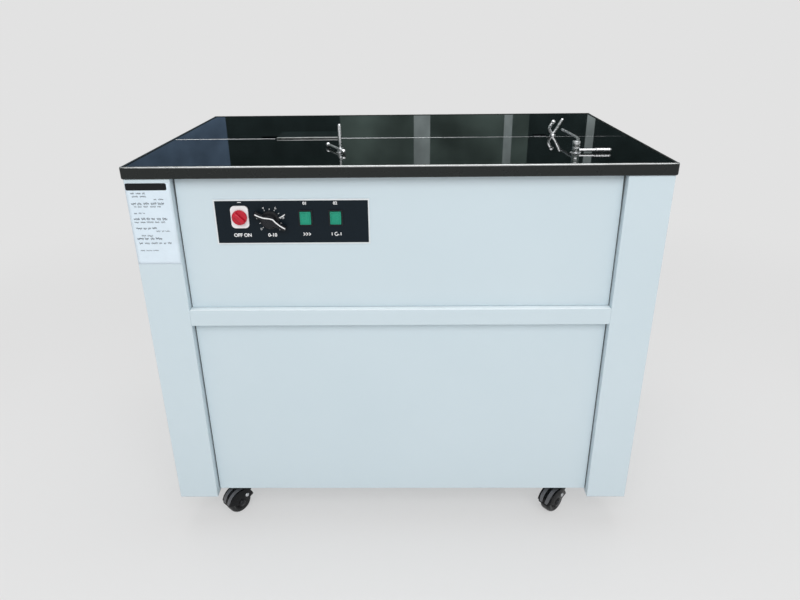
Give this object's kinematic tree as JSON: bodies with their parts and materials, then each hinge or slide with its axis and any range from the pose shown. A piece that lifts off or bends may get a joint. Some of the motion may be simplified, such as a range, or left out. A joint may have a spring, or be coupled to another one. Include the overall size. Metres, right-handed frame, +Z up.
{
  "type": "strapping machine",
  "caption": "Table-type strapping machine: castered steel cabinet with gloss black worktop, strap guides, control fascia, drop-down front door and inner strap head, drive and reel.",
  "frame": {"origin": "on the floor under the middle of the worktop", "axes": "+X to the operator's right along the worktop, +Y to the back, +Z up"},
  "size_m": [0.895, 0.57, 0.7832],
  "materials": {
    "cabinet_paint": "semi-gloss pale grey-blue powder coat",
    "table_gloss": "mirror-gloss black laminate",
    "rim_trim": "satin dark brown-black edge trim",
    "frame_paint": "satin grey",
    "label_black": "satin blue-black printed overlay",
    "white_plastic": "gloss white",
    "red_plastic": "gloss red",
    "green_plastic": "gloss green",
    "black_plastic": "satin black",
    "caster_plastic": "gloss black moulding",
    "caster_tread": "hard black tread",
    "zinc_steel": "bright zinc",
    "chrome": "bright chrome",
    "polished_steel": "ground and polished",
    "machine_steel": "dark satin",
    "cast_grey": "painted casting",
    "motor_paint": "satin blue-grey",
    "pulley_metal": "turned",
    "belt_rubber": "matt",
    "box_paint": "light grey",
    "reel_plastic": "matt blue-grey"
  },
  "bodies": {
    "root": {"corner_post_front_left": "cabinet_paint", "corner_post_front_right": "cabinet_paint", "corner_post_rear_left": "cabinet_paint", "corner_post_rear_right": "cabinet_paint", "base_tray": "cabinet_paint", "left_side_panel": "cabinet_paint", "right_side_panel": "cabinet_paint", "rear_panel": "cabinet_paint", "front_upper_panel": "cabinet_paint", "front_rail": "cabinet_paint", "table_frame": "frame_paint", "table_rim": "rim_trim", "table_plate_front": "table_gloss", "table_plate_rear": "table_gloss", "control_fascia": "label_black", "switch_plate": "white_plastic", "switch_bodies": "black_plastic", "caster_plates": "zinc_steel", "cabinet_screws": "zinc_steel", "cable_gland": "black_plastic", "strap_fork": "chrome", "guide_posts": "chrome", "head_shelf": "frame_paint", "head_frame": "machine_steel", "gripper_block": "polished_steel", "gearbox": "cast_grey", "main_motor": "motor_paint", "drive_belt": "belt_rubber", "feed_motor": "motor_paint", "strap_chute": "zinc_steel", "control_box": "box_paint", "reel_stand": "frame_paint", "door_hinge_pins": "zinc_steel"},
    "door": {"front_door": "cabinet_paint"},
    "power_switch": {"power_knob": "red_plastic"},
    "timer": {"timer_knob": "black_plastic"},
    "feed_key": {"feed_button": "green_plastic"},
    "reset_key": {"reset_button": "green_plastic"},
    "lever": {"guide_lever": "chrome"},
    "finger": {"guide_finger": "chrome"},
    "slide_table": {"slide_plate": "polished_steel"},
    "left_grip": {"left_gripper": "polished_steel"},
    "press": {"press_cutter": "polished_steel"},
    "right_grip": {"right_gripper": "polished_steel"},
    "heater": {"heater_arm": "polished_steel"},
    "cams": {"camshaft": "polished_steel"},
    "gearbox_input": {"input_pulley": "pulley_metal"},
    "motor_shaft": {"motor_pulley": "pulley_metal"},
    "feed_wheel": {"feed_roller": "belt_rubber"},
    "pinch_wheel": {"pinch_roller": "polished_steel"},
    "reel": {"reel_drum": "reel_plastic", "reel_flange_outer": "reel_plastic"},
    "caster_front_left": {"caster_fork_front_left": "caster_plastic"},
    "wheel_front_left": {"caster_wheel_front_left": "caster_tread"},
    "caster_front_right": {"caster_fork_front_right": "caster_plastic"},
    "wheel_front_right": {"caster_wheel_front_right": "caster_tread"},
    "caster_rear_left": {"caster_fork_rear_left": "caster_plastic"},
    "wheel_rear_left": {"caster_wheel_rear_left": "caster_tread"},
    "caster_rear_right": {"caster_fork_rear_right": "caster_plastic"},
    "wheel_rear_right": {"caster_wheel_rear_right": "caster_tread"}
  },
  "joints": [
    {"name": "door_hinge", "type": "hinge", "parent": "root", "child": "door", "pos_m": [0, -0.2618, 0.084], "axis": [1, 0, 0], "range_deg": [0, 88]},
    {"name": "power_turn", "type": "hinge", "parent": "root", "child": "power_switch", "pos_m": [-0.265, -0.27, 0.6473], "axis": [0, 1, 0], "range_deg": [0, 90]},
    {"name": "timer_turn", "type": "hinge", "parent": "root", "child": "timer", "pos_m": [-0.215, -0.27, 0.6416], "axis": [0, 1, 0], "range_deg": [-80, 220]},
    {"name": "feed_press", "type": "slide", "parent": "root", "child": "feed_key", "axis": [0, 1, 0], "range_m": [0, 0.003], "stiffness_N_per_m": 400, "springref_m": -0.003},
    {"name": "reset_press", "type": "slide", "parent": "root", "child": "reset_key", "axis": [0, 1, 0], "range_m": [0, 0.003], "stiffness_N_per_m": 400, "springref_m": -0.003},
    {"name": "lever_swing", "type": "hinge", "parent": "root", "child": "lever", "pos_m": [0.304, -0.189, 0.7445], "axis": [0, 0, 1], "range_deg": [-20, 25]},
    {"name": "finger_swing", "type": "hinge", "parent": "root", "child": "finger", "pos_m": [-0.102, -0.17, 0.7387], "axis": [0, 0, 1], "range_deg": [-25, 25]},
    {"name": "slide_table_slide", "type": "slide", "parent": "root", "child": "slide_table", "axis": [0, 1, 0], "range_m": [0, 0.02]},
    {"name": "left_grip_lift", "type": "slide", "parent": "root", "child": "left_grip", "axis": [0, 0, 1], "range_m": [0, 0.004]},
    {"name": "press_lift", "type": "slide", "parent": "root", "child": "press", "axis": [0, 0, 1], "range_m": [0, 0.004]},
    {"name": "right_grip_lift", "type": "slide", "parent": "root", "child": "right_grip", "axis": [0, 0, 1], "range_m": [0, 0.004]},
    {"name": "heater_swing", "type": "hinge", "parent": "root", "child": "heater", "pos_m": [-0.118, 0.023, 0.718], "axis": [0, 0, 1], "range_deg": [0, 32]},
    {"name": "cam_spin", "type": "hinge", "parent": "root", "child": "cams", "pos_m": [-0.18, -0.013, 0.6], "axis": [1, 0, 0], "continuous": true},
    {"name": "input_spin", "type": "hinge", "parent": "root", "child": "gearbox_input", "pos_m": [-0.053, 0.049, 0.58], "axis": [0, 1, 0], "continuous": true},
    {"name": "motor_spin", "type": "hinge", "parent": "root", "child": "motor_shaft", "pos_m": [-0.053, 0.049, 0.44], "axis": [0, 1, 0], "continuous": true},
    {"name": "feed_spin", "type": "hinge", "parent": "root", "child": "feed_wheel", "pos_m": [0.065, -0.013, 0.65], "axis": [0, 1, 0], "continuous": true},
    {"name": "pinch_spin", "type": "hinge", "parent": "root", "child": "pinch_wheel", "pos_m": [0.065, -0.013, 0.6908], "axis": [0, 1, 0], "continuous": true},
    {"name": "reel_spin", "type": "hinge", "parent": "root", "child": "reel", "pos_m": [0.225, -0.048, 0.28], "axis": [0, 1, 0], "continuous": true},
    {"name": "swivel_front_left", "type": "hinge", "parent": "root", "child": "caster_front_left", "pos_m": [-0.329, -0.222, 0.068], "axis": [0, 0, 1], "continuous": true},
    {"name": "roll_front_left", "type": "hinge", "parent": "caster_front_left", "child": "wheel_front_left", "pos_m": [-0.34372, -0.23835, 0.025], "axis": [0.7431, -0.6691, 0], "continuous": true},
    {"name": "swivel_front_right", "type": "hinge", "parent": "root", "child": "caster_front_right", "pos_m": [0.329, -0.222, 0.068], "axis": [0, 0, 1], "continuous": true},
    {"name": "roll_front_right", "type": "hinge", "parent": "caster_front_right", "child": "wheel_front_right", "pos_m": [0.31265, -0.23672, 0.025], "axis": [0.6691, -0.7431, 0], "continuous": true},
    {"name": "swivel_rear_left", "type": "hinge", "parent": "root", "child": "caster_rear_left", "pos_m": [-0.329, 0.222, 0.068], "axis": [0, 0, 1], "continuous": true},
    {"name": "roll_rear_left", "type": "hinge", "parent": "caster_rear_left", "child": "wheel_rear_left", "pos_m": [-0.35067, 0.21818, 0.025], "axis": [0.1736, -0.9848, 0], "continuous": true},
    {"name": "swivel_rear_right", "type": "hinge", "parent": "root", "child": "caster_rear_right", "pos_m": [0.329, 0.222, 0.068], "axis": [0, 0, 1], "continuous": true},
    {"name": "roll_rear_right", "type": "hinge", "parent": "caster_rear_right", "child": "wheel_rear_right", "pos_m": [0.30721, 0.22506, 0.025], "axis": [-0.1392, -0.9903, 0], "continuous": true}
  ],
  "couplings": [
    {"joint": "motor_spin", "follows": "input_spin", "ratio": 1.7805},
    {"joint": "pinch_spin", "follows": "feed_spin", "ratio": -1.6667}
  ]
}
